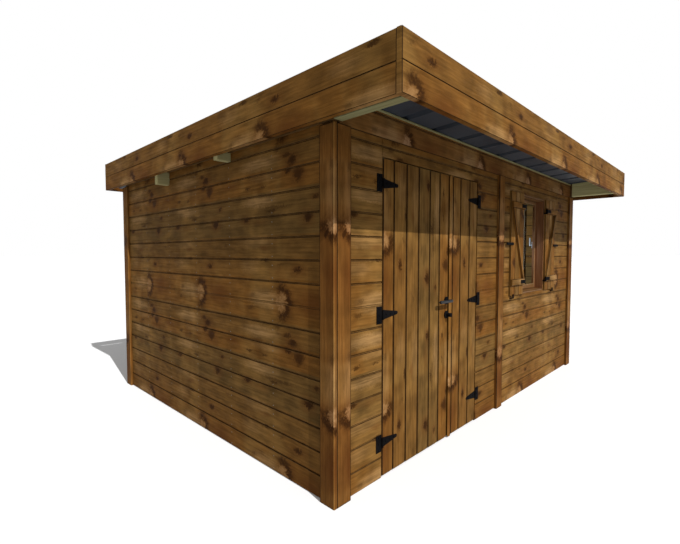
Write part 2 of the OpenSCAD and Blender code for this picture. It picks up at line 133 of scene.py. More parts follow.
# %% A finish, or a sky, as a tree of nodes
class Finish:
    def __init__(self, name, sky=False):
        self.owner = bpy.data.worlds.new(name) if sky else bpy.data.materials.new(name)
        self.owner.use_nodes = True
        self.tree = self.owner.node_tree
        self.tree.nodes.clear()
        self.out = self.tree.nodes.new("ShaderNodeOutputWorld" if sky else "ShaderNodeOutputMaterial")

    def node(self, kind, settings=(), sockets=(), out=0):
        made = self.tree.nodes.new(kind)
        for key, value in dict(settings).items():
            if key == "stops":
                for extra in range(len(value) - 2):
                    made.color_ramp.elements.new(0.5)
                for element, (place, colour) in zip(made.color_ramp.elements, value):
                    element.position, element.color = place, (*colour, 1)
            elif key == "ramp":
                made.color_ramp.interpolation = value
            else:
                setattr(made, key, value)
        for key, value in dict(sockets).items():
            if isinstance(value, Flow):
                self.tree.links.new(value.socket, made.inputs[key])
            else:
                made.inputs[key].default_value = value
        return Flow(self, made.outputs[out])

    def place(self):
        """The place on the object, in metres."""
        return self.node("ShaderNodeTexCoord", out="Object")

    def mix(self, share, first, second, blend="MIX"):
        first, second = ((*c, 1) if isinstance(c, tuple) else c for c in (first, second))
        return self.node("ShaderNodeMix", {"data_type": "RGBA", "blend_type": blend},
                         {0: share, 6: first, 7: second}, out=2)

    def lit(self, colour, light):
        """A colour made darker or paler by a plain number."""
        grey = self.node("ShaderNodeCombineColor", {}, {0: light, 1: light, 2: light})
        return self.mix(1.0, colour, grey, "MULTIPLY")

    def scale(self, vector, by):
        return self.node("ShaderNodeVectorMath", {"operation": "MULTIPLY"}, {0: vector, 1: by})

    def noise(self, vector, detail=3.0, rough=0.55):
        return self.node("ShaderNodeTexNoise", {}, {"Vector": vector, "Scale": 1.0, "Detail": detail,
                                                    "Roughness": rough})

    def ease(self, value, low, high, to_low=0.0, to_high=1.0):
        return self.node("ShaderNodeMapRange", {"interpolation_type": "SMOOTHSTEP"},
                         {0: value, 1: low, 2: high, 3: to_low, 4: to_high})

    def bump(self, height, depth):
        return self.node("ShaderNodeBump", {}, {"Height": height, "Strength": 1.0, "Distance": depth})

    def looked_at(self):
        """1 for what the camera, a mirror or a pane shows, and 0 for the light that falls on the wood."""
        ray = self.node("ShaderNodeLightPath", out="Is Camera Ray")
        return ray.most(ray.outlet("Is Glossy Ray")).most(ray.outlet("Is Transmission Ray"))

    def surface(self, shader):
        self.tree.links.new(shader.socket, self.out.inputs["Surface"])
        print("finish", self.owner.name, "has", len(self.tree.nodes), "nodes")
        return self.owner

    def shade(self, **sockets):
        named = {key.replace("_", " "): value for key, value in sockets.items()}
        return self.surface(self.node("ShaderNodeBsdfPrincipled", {}, named))


# %% [markdown]
# ## Brown-stained pine
# The boards are sawn from the same few logs, so the same knots come round again along each board. The finish
# reads a map named "grain" that every board carries: metres along the board, and metres across eight boards
# laid side by side. Noise alone would scatter the knots, so each knot is a soft ellipse at its own place on
# those eight boards, repeated along them.

# %% Knots and pale streaks of the eight boards
# Millimetres from joint to joint, metres of log before the knots come round again, and metres of eight boards
ROW = 128.9
LOG = 0.985
ROWS = 8 * ROW * MM
# Place along and across, half length and half width, strength, and how much wider the upper side is. The red
# and the pale places are written in the same way
KNOTS = [
    (0.030, 0.715, 0.050, 0.050, 0.80, 0.75), (0.925, 0.748, 0.036, 0.022, 0.90, 0.3),
    (0.912, 0.834, 0.044, 0.016, 0.75, 0.0), (0.962, 0.800, 0.044, 0.030, 0.90, -0.4),
    (0.022, 0.182, 0.040, 0.021, 0.90, 0.2), (0.112, 0.472, 0.040, 0.034, 0.95, 0.8),
    (0.495, 0.484, 0.038, 0.019, 0.90, 0.3), (0.177, 0.580, 0.026, 0.015, 0.75, 0.0),
    (0.778, 0.531, 0.050, 0.011, 0.75, 0.0), (0.830, 0.548, 0.170, 0.010, 0.45, 0.0),
    (0.520, 0.684, 0.036, 0.012, 0.75, 0.5), (0.687, 0.680, 0.036, 0.010, 0.65, 0.3),
    (0.697, 0.238, 0.050, 0.013, 0.85, 0.0), (0.820, 0.878, 0.036, 0.020, 0.55, 0.0),
    (0.530, 0.966, 0.040, 0.014, 0.55, 0.0), (0.853, 0.215, 0.036, 0.012, 0.40, 0.0),
    (0.560, 0.015, 0.030, 0.020, 0.35, 0.0), (0.240, 0.330, 0.030, 0.012, 0.35, 0.0),
]
RED = [
    (0.308, 0.718, 0.110, 0.026, 0.6, 0), (0.687, 0.310, 0.070, 0.024, 0.5, 0),
    (0.027, 0.715, 0.080, 0.070, 0.6, 0.3), (0.950, 0.790, 0.090, 0.070, 0.6, 0),
    (0.140, 0.0, 0.200, 0.100, 0.75, 0), (0.890, 0.0, 0.125, 0.130, 0.75, 0),
    (0.640, 0.470, 0.120, 0.030, 0.35, 0),
]
PALE = [
    (0.640, 0.822, 0.210, 0.046, 1.0, 0), (0.640, 0.594, 0.200, 0.040, 1.0, 0),
    (0.600, 0.345, 0.200, 0.044, 0.45, 0), (0.700, 0.000, 0.190, 0.066, 0.9, 0),
    (0.535, 0.195, 0.120, 0.050, 0.40, 0), (0.985, 0.752, 0.050, 0.016, 0.5, 0),
    (0.700, 0.735, 0.180, 0.030, 0.4, 0),
]
# The big flame-shaped figure: its place along and across, half length and half width
FLAME = (0.860, -0.010, 0.074, 0.088)
# How orange each of the eight boards is
ORANGE = [0.85, 0.55, 0.35, 0.0, 0.1, 0.85, 0.4, 0.9]
OLIVE, TAWNY = (0.140, 0.074, 0.0198), (0.182, 0.076, 0.0142)
KNOT_BROWN, RED_BROWN = (0.032, 0.0115, 0.0022), (0.108, 0.035, 0.0065)
PALE_TAN, SAP, HEART = (0.325, 0.183, 0.068), (0.213, 0.111, 0.0285), (0.345, 0.182, 0.066)
print(len(KNOTS), "knots and", len(PALE), "pale streaks on eight boards")


# %% How far a place is from a knot
def from_centre(wood, grain, along, across, half_l, half_w, taper=0.0):
    """The way from a knot's middle, in half lengths and half widths."""
    away = wood.node("ShaderNodeVectorMath", {"operation": "SUBTRACT"}, {0: grain, 1: (along, across, 0)})
    near = wood.node("ShaderNodeVectorMath", {"operation": "WRAP"},
                     {0: away, 1: (LOG / 2, ROWS / 2, 1), 2: (-LOG / 2, -ROWS / 2, -1)})
    unit = wood.scale(near, (1 / half_l, 1 / half_w, 0))
    if taper:
        side = wood.node("ShaderNodeSeparateXYZ", {}, {0: unit})
        up = side.outlet(1)
        unit = wood.node("ShaderNodeCombineXYZ", {}, {0: side / (1 + up * taper).most(0.15), 1: up, 2: 0.0})
    return unit


def length(wood, vector):
    return wood.node("ShaderNodeVectorMath", {"operation": "LENGTH"}, {0: vector}, out=1)


def spots(wood, grain, places, soft=0.35):
    total = None
    for along, across, half_l, half_w, strength, taper in places:
        reach = length(wood, from_centre(wood, grain, along, across, half_l, half_w, taper))
        spot_here = wood.ease(reach, 1.25, soft, 0.0, strength)
        total = spot_here if total is None else total.most(spot_here)
    return total


# %% The pine itself
def stained_pine(name, tint=None, tail=1.0):
    """The stained boards. A tint colours them all over, and tail is the strength of the flame's pale tail."""
    wood = Finish(name)
    laid = wood.node("ShaderNodeUVMap", {"uv_map": "grain"})
    along = wood.node("ShaderNodeSeparateXYZ", {}, {0: laid})
    across = along.outlet(1)

    def shifted(shift, by_along, by_across):
        return wood.node("ShaderNodeCombineXYZ", {},
                         {0: along + shift * by_along, 1: across + shift * by_across, 2: 0.0})

    # A slow wobble bends the grain, and a quick one frays the outlines of the knots
    slow = wood.noise(wood.scale(laid, (9, 42, 1)), 2.0) - 0.5
    quick = wood.noise(wood.scale(laid, (75, 75, 1)), 3.0, 0.65) - 0.5
    grain = shifted(slow, 0.05, 0.020)
    frayed = shifted(quick + slow * 0.4, 0.085, 0.050)

    knots = spots(wood, frayed, KNOTS)
    halo = spots(wood, grain, [(a, b, 2.4 * c, 2.0 * d, 0.55 * s, 0) for a, b, c, d, s, t in KNOTS[:8]], 0.0)
    red = spots(wood, grain, RED, 0.0).most(halo)
    # The first of the eight boards carries the flame, and the pale streak on it is the flame's tail
    streaks = [(a, b, c, d, s * tail if b == 0 else s, t) for a, b, c, d, s, t in PALE]
    pale = spots(wood, frayed, streaks, 0.3)

    # The flame: a pale heart, and spikes of dark wood all round it except on the side of the pale tail
    ray = from_centre(wood, shifted(slow, 0.08, 0.03), *FLAME)
    heading = wood.node("ShaderNodeVectorMath", {"operation": "NORMALIZE"}, {0: ray})
    spikes = wood.noise(wood.scale(heading, (3.0, 3.0, 1)), 3.0, 0.7) - 0.5
    reach = length(wood, ray) + spikes * 0.8 + quick * 0.6
    heart = wood.ease(reach, 0.84, 0.36)
    away_from_tail = wood.ease(wood.node("ShaderNodeSeparateXYZ", {}, {0: heading}), -0.85, -0.1)
    clump = wood.noise(wood.scale(laid, (36, 36, 1)), 2.0, 0.5)
    cap = wood.ease(reach, 0.56, 0.80) * wood.ease(reach, 1.5, 0.95) * wood.ease(clump, 0.30, 0.50, 0.45, 1.0)
    cap = cap * away_from_tail

    # Early and late wood run the length of the board, and clouds of stain lie over several boards
    streak = wood.noise(wood.scale(grain, (2.2, 75, 1)), 4.0, 0.6)
    fine = wood.noise(wood.scale(grain, (11, 520, 1)), 2.0, 0.6)
    cloud = wood.noise(wood.scale(laid, (5.0, 3.0, 1)), 2.0, 0.5)
    patch = wood.noise(wood.scale(laid, (7.0, 19.0, 1)), 2.0, 0.5)
    band = wood.node("ShaderNodeMath", {"operation": "COSINE"}, {0: (along - 0.66) * (2 * math.pi / LOG)})
    row = wood.node("ShaderNodeMath", {"operation": "FRACT"}, {0: across / ROWS})
    stops = [(i / 8, (c, c, c)) for i, c in enumerate(ORANGE)]
    share = wood.node("ShaderNodeValToRGB", {"ramp": "CONSTANT", "stops": stops}, {0: row})

    colour = wood.mix(share, OLIVE, TAWNY)
    colour = wood.mix(wood.ease(cloud + band * 0.12, 0.46, 0.74, 0.0, 0.7), colour, SAP)
    colour = wood.mix(pale * wood.ease(streak, 0.2, 0.62, 0.35, 0.8), colour, PALE_TAN)
    light = wood.ease(streak, 0.25, 0.72, 0.77, 1.20) * wood.ease(fine, 0.2, 0.8, 0.90, 1.09)
    light = light * wood.ease(cloud, 0.25, 0.55, 0.82, 1.05) * wood.ease(patch, 0.25, 0.7, 0.76, 1.18)
    colour = wood.mix(red, wood.lit(colour, light), RED_BROWN)
    colour = wood.mix(heart * wood.ease(clump, 0.35, 0.6, 0.40, 0.88), colour, HEART)
    dark = (knots * (1 - heart)).most(cap * 0.9)
    colour = wood.mix(dark * wood.ease(streak, 0.15, 0.5, 0.75, 1.0), colour, KNOT_BROWN)
    if tint:
        colour = wood.mix(1.0, colour, tint, "MULTIPLY")

    height = streak * 0.6 + fine * 0.4 - dark * 0.5
    return wood.shade(Base_Color=colour, Roughness=wood.ease(streak, 0.2, 0.8, 0.74, 0.54),
                      Normal=wood.bump(height, 0.0012), Specular_IOR_Level=0.025)


pine = stained_pine("stained_pine")
# A paler, bluer copy is painted highlight, for chamfers where the sun catches an edge
painted_highlight_pine = stained_pine("painted_highlight_pine", (1.7, 1.85, 2.2), tail=0.3)
trim_pine = stained_pine("trim_pine", (0.95, 0.90, 0.95), tail=0.45)
door_pine = stained_pine("door_pine", tail=0.45)
# The upper wall's copy is painted paler and bluer, painted light that lifts the shade under the eaves
upper_pine_painted_light = stained_pine("upper_pine_painted_light", (1.26, 1.33, 1.75), tail=0.45)

# %% [markdown]
# ## Stain on the arrises
# Stain runs to the edges of a board and dries darker there. A mask could look for the edges, but a bevel
# makes real faces there and can give them a second finish, so the gathered stain is a finish of its own with
# a soft drift.

# %% Dark stain that gathers on the arrises
def gathered_stain(name, dark, light):
    stain = Finish(name)
    drift = stain.noise(stain.scale(stain.place(), (25, 25, 25)), 3.0)
    return stain.shade(Base_Color=stain.mix(stain.ease(drift, 0.3, 0.7), dark, light),
                       Roughness=stain.ease(drift, 0.3, 0.7, 0.8, 0.6), Specular_IOR_Level=0.02)


arris = gathered_stain("dark_arris", (0.018, 0.009, 0.003), (0.040, 0.020, 0.008))
soft_arris = gathered_stain("soft_arris", (0.044, 0.022, 0.007), (0.080, 0.041, 0.014))

# %% [markdown]
# ## Green-treated framing timber
# The frame behind the cladding, the purlins and the verge beams are sawn softwood, dipped green. They keep
# their solids, which have no map, so this finish reads the place on the object and is stretched along the
# timber. It is made five times: for timbers that stand, that run across the front and that run front to back,
# for the purlins, whose colour is painted paler to lift the shade under the roof, and for the verge beams,
# which are stained brown from the wall on and painted brighter on the right.

# %% Treated timber in several directions
FINE, LONG = 95, 3
TREATED_KNOT = (0.090, 0.056, 0.022)
VERGE_DEEP, VERGE_PALE = (0.085, 0.044, 0.014), (0.150, 0.080, 0.026)


def treated_timber(name, stretch, pale, deep, stained_from=None):
    wood = Finish(name)
    place = wood.place()
    streak = wood.noise(wood.scale(place, stretch), 4.0, 0.6)
    blotch = wood.noise(wood.scale(place, (4, 4, 4)), 2.0)
    cells = wood.scale(place, tuple(3.5 if s == LONG else 16 for s in stretch))
    knot = wood.node("ShaderNodeTexVoronoi", {"feature": "F1"}, {"Vector": cells, "Scale": 1.0})
    colour = wood.mix(wood.ease(streak, 0.3, 0.7), deep, pale)
    colour = wood.mix(wood.ease(blotch, 0.4, 0.75, 0.0, 0.6), colour, tuple(0.8 * p for p in pale))
    colour = wood.mix(wood.ease(knot, 0.16, 0.05, 0.0, 0.8), colour, TREATED_KNOT)
    if stained_from is not None:
        # Painted light: the beams are painted darker on the left and up to twice as bright on the right, to
        # stand in for the light under the roof. Both are stained behind the wall's face
        sides = wood.node("ShaderNodeSeparateXYZ", {}, {0: place})
        colour = wood.lit(colour, wood.ease(sides, -1.6, 1.6, 0.85, 2.0))
        stain = wood.mix(wood.ease(streak, 0.3, 0.7), VERGE_DEEP, VERGE_PALE)
        behind = wood.ease(sides.outlet(1), stained_from - 0.001, stained_from + 0.001)
        colour = wood.mix(behind, colour, stain)
    return wood.shade(Base_Color=colour, Roughness=wood.ease(streak, 0.2, 0.8, 0.86, 0.7),
                      Normal=wood.bump(streak, 0.0010), Specular_IOR_Level=0.05)


UPRIGHT, CROSSWISE, BACKWARD = (FINE, FINE, LONG), (LONG, FINE, FINE), (FINE, LONG, FINE)
GREEN, GREEN_DEEP = (0.370, 0.350, 0.170), (0.255, 0.225, 0.098)
standing = treated_timber("treated_standing", UPRIGHT, (0.150, 0.102, 0.048), (0.104, 0.068, 0.030))
across_x = treated_timber("treated_across", CROSSWISE, GREEN, GREEN_DEEP)
along_y = treated_timber("treated_front_to_back", BACKWARD, GREEN, GREEN_DEEP)
# The purlins' colour is painted paler, painted light that lifts the shade under the roof
lifted_purlin_wood = treated_timber("treated_purlins_painted_light", CROSSWISE, (0.500, 0.450, 0.215), (0.360, 0.310, 0.135))
verge_wood = treated_timber("treated_verge", BACKWARD, GREEN, GREEN_DEEP, stained_from=corner.y)

# %% [markdown]
# ## Red-brown window timber
# The window is planed and stained redder than the walls. Its bars are too narrow to show knots, so stretched
# noise is enough. The stiles stand and the rails lie, which takes two directions, and a pale bead runs round
# the glass.

# %% Stiles, rails and bead
def red_window_wood(name, stretch, deep, pale):
    wood = Finish(name)
    place = wood.place()
    streak = wood.noise(wood.scale(place, stretch), 4.0, 0.6)
    cloud = wood.noise(wood.scale(place, tuple(s * 0.08 for s in stretch)), 2.0)
    colour = wood.mix(wood.ease(streak, 0.28, 0.72), deep, pale)
    colour = wood.mix(wood.ease(cloud, 0.35, 0.7, 0.0, 0.5), colour, tuple(0.85 * p for p in pale))
    return wood.shade(Base_Color=colour, Roughness=wood.ease(streak, 0.2, 0.8, 0.55, 0.42),
                      Normal=wood.bump(streak, 0.0006), Specular_IOR_Level=0.05)


window_standing = red_window_wood("window_wood_standing", (130, 130, 5),
                                  (0.170, 0.070, 0.028), (0.285, 0.122, 0.048))
window_across = red_window_wood("window_wood_across", (5, 130, 130),
                                (0.125, 0.060, 0.020), (0.205, 0.098, 0.034))
bead = gathered_stain("glazing_bead", (0.17, 0.10, 0.045), (0.24, 0.15, 0.07))

# %% [markdown]
# ## Sheet metal, iron, zinc and glass
# The roof sheets have a dark coat with a faint orange-peel, the ironwork is coated black, and the nails are
# zinc. One function makes them all, because they differ only in tone, gloss and the size of the peel. The
# pane is a clear surface with a small share of mirror, which shows the room behind it better than a solid
# glass would.

# %% Coated metals
def coated_metal(name, dark, bright, rough, peel, depth, shine, metallic=0.0):
    metal = Finish(name)
    place = metal.place()
    skin = metal.noise(metal.scale(place, (peel, peel, peel)), 3.0)
    dust = metal.noise(metal.scale(place, (5, 5, 9)), 4.0)
    colour = metal.mix(metal.ease(dust, 0.35, 0.75), dark, bright)
    return metal.shade(Base_Color=colour, Roughness=metal.ease(dust, 0.25, 0.75, rough - 0.08, rough + 0.12),
                       Metallic=metallic, Normal=metal.bump(skin, depth), Specular_IOR_Level=shine)


roof_coat = coated_metal("dark_sheet_coat", (0.030, 0.036, 0.046), (0.042, 0.050, 0.062),
                         rough=0.5, peel=420, depth=0.0003, shine=0.3)
black_iron = coated_metal("black_iron", (0.0050, 0.0046, 0.0048), (0.0090, 0.0084, 0.0086),
                          rough=0.55, peel=700, depth=0.0003, shine=0.006)
lever_black = coated_metal("lever_black", (0.006, 0.007, 0.009), (0.012, 0.014, 0.018),
                           rough=0.36, peel=700, depth=0.0002, shine=0.2)
bright_metal = coated_metal("pale_metal", (0.36, 0.34, 0.29), (0.44, 0.42, 0.36),
                            rough=0.34, peel=900, depth=0.0001, shine=0.3)
nail_zinc = coated_metal("nail_zinc", (0.22, 0.19, 0.14), (0.32, 0.29, 0.23),
                         rough=0.45, peel=900, depth=0.0001, shine=0.5, metallic=0.4)

# %% The pane
MIRROR_SHARE = 0.008
pane = Finish("clear_pane")
clear = pane.node("ShaderNodeBsdfTransparent", {}, {"Color": (0.96, 0.97, 0.96, 1)})
mirror = pane.node("ShaderNodeBsdfGlossy", {}, {"Color": (1, 1, 1, 1), "Roughness": 0.02})
glass = pane.surface(pane.node("ShaderNodeMixShader", {}, {0: MIRROR_SHARE, 1: clear, 2: mirror}))

# %% The solids that keep their shape
DRESSED = {
    "side_wall_studs": standing, "front_wall_studs": standing, "back_wall_studs": standing,
    "side_wall_plates": along_y, "verge_beams": verge_wood, "front_wall_plates": across_x,
    "back_wall_plates": across_x, "purlins": lifted_purlin_wood, "left_door_ledges": across_x,
    "right_door_ledges": across_x, "roof_sheets": roof_coat, "window_glass": glass,
    "window_handle": bright_metal, "shutter_hinges": black_iron, "shutter_catches": black_iron,
    "door_hinge_plates": black_iron, "left_door_straps": black_iron, "right_door_straps": black_iron,
    "left_door_lock": black_iron, "door_lever": lever_black,
}
for node, finish in DRESSED.items():
    nodes[node].data.materials.clear()
    nodes[node].data.materials.append(finish)
print("dressed", len(DRESSED), "solids that keep their shape")

# %% [markdown]
# ## Boards from a cube
# Every timber of the shed is a sawn plank with eased edges. A Bevel modifier would ease all its edges alike,
# so a cube is set to its size instead, and chosen edges are bevelled in edit mode, as a plane would ease
# them. An operator acts on whatever is selected, so the first step is always to select nothing.

# %% A block of timber, and working on it
X, Y, Z = Vector((1, 0, 0)), Vector((0, 1, 0)), Vector((0, 0, 1))
# Levels that are this close, in millimetres, count as one
NEAR = 0.1


def select_only(*pieces):
    bpy.ops.object.select_all(action="DESELECT")
    for piece in pieces:
        piece.select_set(True)
    bpy.context.view_layer.objects.active = pieces[0]


def block(low, high, name, finish=pine, edge=arris):
    low, high = Vector(low), Vector(high)
    bpy.ops.object.select_all(action="DESELECT")
    bpy.ops.mesh.primitive_cube_add(size=1, location=spot(*((low + high) / 2)), calc_uvs=False)
    piece = bpy.context.object
    piece.name = piece.data.name = name
    piece.scale = (high - low) * MM
    bpy.ops.object.transform_apply(location=True, rotation=True, scale=True)
    piece.data.materials.append(finish)
    piece.data.materials.append(edge)
    return piece


def edit(piece, work):
    select_only(piece)
    bpy.ops.object.mode_set(mode="EDIT")
    work()
    bpy.ops.object.mode_set(mode="OBJECT")


def select_none(piece, kind):
    edit(piece, lambda: (bpy.ops.mesh.select_mode(type=kind), bpy.ops.mesh.select_all(action="DESELECT")))


# %% Easing chosen edges
def bevel(piece, width, wanted, segments=1, paint=1):
    """Bevels the edges whose two ends, in millimetres, pass a test. The new faces get the second finish."""
    select_none(piece, "EDGE")
    for edge in piece.data.edges:
        edge.select = wanted(*((piece.data.vertices[i].co - corner) / MM for i in edge.vertices))
    edit(piece, lambda: bpy.ops.mesh.bevel(offset=width * MM, segments=segments, affect="EDGES",
                                           material=paint))
    return piece


def facing(low, high, out):
    """The axis that a board faces along, and the levels of its outer and its rear face."""
    axis = 0 if abs(out.x) > 0.5 else 1
    return (axis, high[axis], low[axis]) if out[axis] > 0 else (axis, low[axis], high[axis])


def lying_at(axis, level, along):
    """A test for edges that lie at a level and run one way."""
    def wanted(a, b):
        flat = abs(a[axis] - level) < NEAR and abs(b[axis] - level) < NEAR
        return flat and abs((b - a).normalized().dot(along)) > 0.9

    return wanted


def pick_faces(piece, out):
    select_none(piece, "FACE")
    for face in piece.data.polygons:
        face.select = face.normal.dot(out) > 0.9


# %% A board with a rebate
def rebated_board(low, high, out, along, name, gap, depth, chamfer, finish=pine, edge=arris, inner=0.0):
    """A board whose outer half is narrower by the joint's gap, with chamfers beside the joint."""
    axis, face, rear = facing(low, high, out)
    low, high = Vector(low), Vector(high)
    (high if out[axis] > 0 else low)[axis] -= out[axis] * depth
    piece = block(low, high, name, finish, edge)
    pick_faces(piece, out)
    edit(piece, lambda: (bpy.ops.mesh.inset(thickness=gap / 2 * MM, depth=0),
                         bpy.ops.mesh.extrude_region_move(TRANSFORM_OT_translate={"value": out * depth * MM})))
    for width, level in ((chamfer, face), (inner, rear)):
        if width:
            bevel(piece, width, lying_at(axis, level, along))
    return piece


# %% Modifiers, the grain map, joining and riding
def apply(piece, kind, **settings):
    select_only(piece)
    modifier = piece.modifiers.new(kind.lower(), kind)
    for key, value in settings.items():
        setattr(modifier, key, value)
    bpy.ops.object.modifier_apply(modifier=modifier.name)
    return piece


def repeat(piece, count, step):
    return apply(piece, "ARRAY", count=count, use_relative_offset=False, use_constant_offset=True,
                 constant_offset_displace=tuple(v * MM for v in step))


def lay_grain(piece, along, across, out, start):
    """Writes the map that the pine reads: metres along the board, then metres across it."""
    layer = piece.data.uv_layers.get("grain") or piece.data.uv_layers.new(name="grain")
    for loop in piece.data.loops:
        place = piece.data.vertices[loop.vertex_index].co - corner
        layer.uv[loop.index].vector = (along.dot(place) + start[0] * MM,
                                       across.dot(place) + out.dot(place) + start[1] * MM)
    return piece


def join(name, pieces):
    select_only(*pieces)
    if len(pieces) > 1:
        bpy.ops.object.join()
    piece = bpy.context.view_layer.objects.active
    piece.name = piece.data.name = name
    return piece


def finish_piece(piece, body, slot, *replaced):
    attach(piece, body)
    if replaced:
        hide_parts(*replaced)
    print(piece.name, "has", len(piece.data.polygons), "faces")
    return piece


# %% [markdown]
# ## Cladding
# The walls are clad with lying boards that show a V-shaped joint every 129 mm. There are about a hundred, so
# one is made from a cube: its outer face is inset and extruded, which leaves a rebate, and the new edges are
# chamfered. An Array lays the others on top of it. A Boolean then keeps only what lies in the wall's solid,
# which cuts the window, the purlin notches and the top in one go. One joint is closed, so that the boards
# there read as one wide board: a thin filler strip lies in it.

# %% Rows of lying boards
FIRST_JOINT, TIGHT = 127.5, 0.1
JOINT = dict(gap=4.0, depth=7.0, chamfer=4.2, edge=soft_arris, inner=5.0)
ROW_COUNT = 18
CLOSED_JOINT, FILLER, FILLER_SET = FIRST_JOINT + 7 * ROW, 7.0, 1.2
CUTTER_SLACK = 10


def keep_inside(piece, node, axis):
    """Cuts a piece to a solid. The cutter is a thicker copy of the solid, so that no faces coincide."""
    cutter = nodes[node].copy()
    cutter.data = nodes[node].data.copy()
    cutter.parent = None
    bpy.context.scene.collection.objects.link(cutter)
    edit(cutter, lambda: (bpy.ops.mesh.select_all(action="SELECT"),
                          bpy.ops.mesh.remove_doubles(threshold=0.0001)))
    low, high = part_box(node)
    middle = (low[axis] + high[axis]) / 2
    for vertex in cutter.data.vertices:
        vertex.co[axis] += math.copysign(CUTTER_SLACK * MM, vertex.co[axis] - middle)
    apply(piece, "BOOLEAN", operation="INTERSECT", solver="EXACT", object=cutter)
    bpy.data.objects.remove(cutter)


def clad(node, out, along, start, first=FIRST_JOINT, finish=pine):
    low, high = span(node)
    axis, face, rear = facing(low, high, out)
    board_low, board_high = low.copy(), high.copy()
    board_low.z, board_high.z = first - ROW + TIGHT / 2, first - TIGHT / 2
    piece = rebated_board(board_low, board_high, out, along, node + "_boards", finish=finish, **JOINT)
    repeat(piece, ROW_COUNT, (0, 0, ROW))
    keep_inside(piece, node, axis)
    lay_grain(piece, along, Z, out * 0.9, start)
    # The window breaks the closed joint, so its panel has no filler
    if low.z < CLOSED_JOINT < high.z and node != "front_wall_window_panel":
        low.z, high.z = CLOSED_JOINT - FILLER / 2, CLOSED_JOINT + FILLER / 2
        low[axis], high[axis] = sorted(face - out[axis] * inset for inset in (FILLER_SET, FILLER))
        filler = lay_grain(block(low, high, node + "_filler"), along, Z, out * 0, start)
        piece = join(node + "_boards", [piece, filler])
    return finish_piece(piece, "shed", "stained_wood", node)


# %% The walls
GRAIN_LIFT = 1.4
for node, out, along, start in (("left_wall", -X, -Y, 330), ("right_wall", X, Y, -150),
                                ("back_wall", Y, -X, 270), ("front_wall_left_of_door", -Y, X, 330),
                                ("front_wall_over_door", -Y, X, 330), ("front_wall_right_of_door", -Y, X, 330),
                                ("front_wall_window_panel", -Y, X, 330)):
    clad(node, out, along, (start, GRAIN_LIFT))
# The upper wall, in the shade of the eaves, takes the pine with painted light
UPPER_START = 216
upper_low, upper_high = span("front_upper_wall")
clad("front_upper_wall", -Y, X, (UPPER_START, -upper_low.z), upper_low.z % ROW, upper_pine_painted_light)

# %% [markdown]
# ## Corner boards, cover boards and fascia
# These are single planks with eased edges and a narrow dark rim where the stain has gathered. The rim could
# be a line in the finish, but an inset makes real faces for it. Each plank gets its own start on the log, so
# that the big flame knots sit at the heights where the real boards show them.

# %% Planks with eased edges
EASE, RIM = 4.0, 3.5


def dark_rim(piece, out, width):
    """Stains the outer face, insets it, and gives its middle back the first finish."""
    def stain(slot):
        piece.active_material_index = slot
        bpy.ops.object.material_slot_assign()

    pick_faces(piece, out)
    edit(piece, lambda: (stain(1), bpy.ops.mesh.inset(thickness=width * MM, depth=0), stain(0)))


def plank(name, low, high, along, across, out, start, finish=pine, rim=0.0):
    """A plank with chamfers on the long edges of its outer face."""
    axis, face, rear = facing(low, high, out)
    piece = bevel(block(low, high, name, finish), EASE, lying_at(axis, face, along))
    if rim:
        dark_rim(piece, out, rim)
    return lay_grain(piece, along, across, out, start)


# %% Corner boards and cover boards
TRIM, TRIM_T = 110, 20
GRAIN_SHIFT, FAR_SHIFT = 60, 20
FLAME_HEIGHT = 1468
upright_start = FLAME[0] / MM + FLAME_HEIGHT


def corner_boards(node, boxes):
    planks = []
    for i, (low, high, across, out, shift) in enumerate(boxes):
        board = plank(f"{node}_{i}", low, high, -Z, across, out, (upright_start, shift), trim_pine, RIM)
        if abs(out.x) > 0.5:
            # The chamfer at the corner that faces the front gets the painted highlight, where the sun catches
            # the edge
            board.data.materials.append(painted_highlight_pine)
            pick_faces(board, (out - Y).normalized())
            board.active_material_index = 2
            edit(board, bpy.ops.object.material_slot_assign)
        planks.append(board)
    return finish_piece(join(node + "_planks", planks), "shed", "stained_wood", node)


(x0, y0, _), (x1, y1, top) = span("front_trim_boards")
cover = (x0 + x1 - TRIM) / 2
corner_boards("front_trim_boards", [
    ((x0, y0, 0), (x0 + TRIM, y1, top), -X, -Y, x0 + TRIM),
    ((cover, y0, 0), (cover + TRIM, y1, top), X, -Y, -cover - GRAIN_SHIFT),
    ((x1 - TRIM, y0, 0), (x1, y1, top), X, -Y, -x1 + GRAIN_SHIFT)])
(x0, y0, _), (x1, y1, top) = span("back_trim_boards")
corner_boards("back_trim_boards", [
    ((x, y0, 0), (x + TRIM, y1, top), X, Y, -x - y1) for x in (x0, cover, x1 - TRIM)])
(x0, y0, _), (x1, y1, top) = span("side_trim_boards")
corner_boards("side_trim_boards", [
    ((x0, y0, 0), (x0 + TRIM_T, y0 + TRIM, top), Y, -X, -y0),
    ((x0, y1 - TRIM, 0), (x0 + TRIM_T, y1, top), -Y, -X, y1 + FAR_SHIFT),
    ((x1 - TRIM_T, y0, 0), (x1, y0 + TRIM, top), Y, X, -x1),
    ((x1 - TRIM_T, y1 - TRIM, 0), (x1, y1, top), Y, X, -x1 - y1 + TRIM)])

# %% The fascia boards
FASCIA_FRONT, FASCIA_BACK, FASCIA_SIDES = (-95,), (140,), (360, 300)
FASCIA_T, END_EASE = 28, 3.0
FASCIA_JOINT = dict(gap=2.0, depth=8.0, chamfer=2.0)


